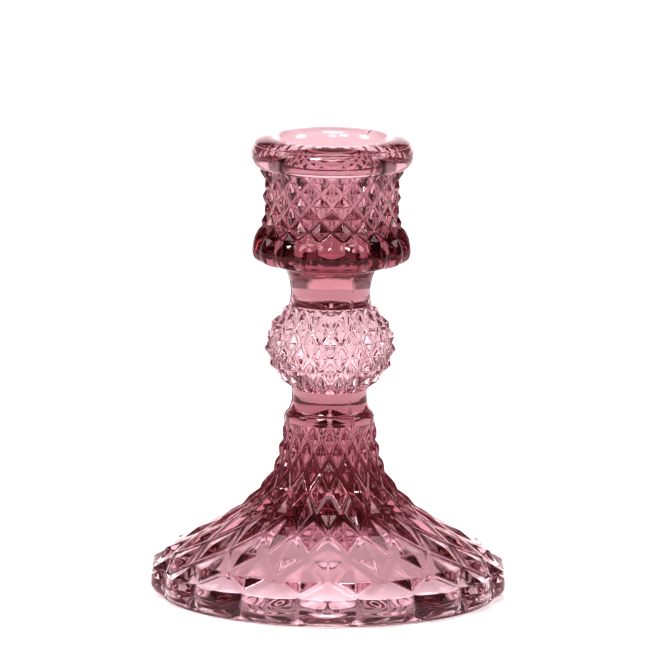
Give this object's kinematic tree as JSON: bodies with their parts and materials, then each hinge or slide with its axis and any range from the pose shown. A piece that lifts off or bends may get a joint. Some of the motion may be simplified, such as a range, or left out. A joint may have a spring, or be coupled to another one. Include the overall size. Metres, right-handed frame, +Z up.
{
  "type": "glass candlestick",
  "caption": "Pressed rose glass candlestick: socket with rolled lip and lobed base, round knop, and a wide hollow bell foot with a scalloped hem, all cut with diamonds.",
  "frame": {"origin": "centre of the ring that the foot stands on, at table height", "axes": "+Z up along the turned axis; a column of diamonds faces -Y"},
  "size_m": [0.0802, 0.0812, 0.1046],
  "materials": {
    "rose_glass": "glossy, fire-polished"
  },
  "bodies": {
    "root": {"cup_rim": "rose_glass", "cup_wall": "rose_glass", "cup_base": "rose_glass", "upper_neck": "rose_glass", "knop": "rose_glass", "lower_neck": "rose_glass", "foot": "rose_glass", "foot_rim": "rose_glass"}
  },
  "joints": []
}
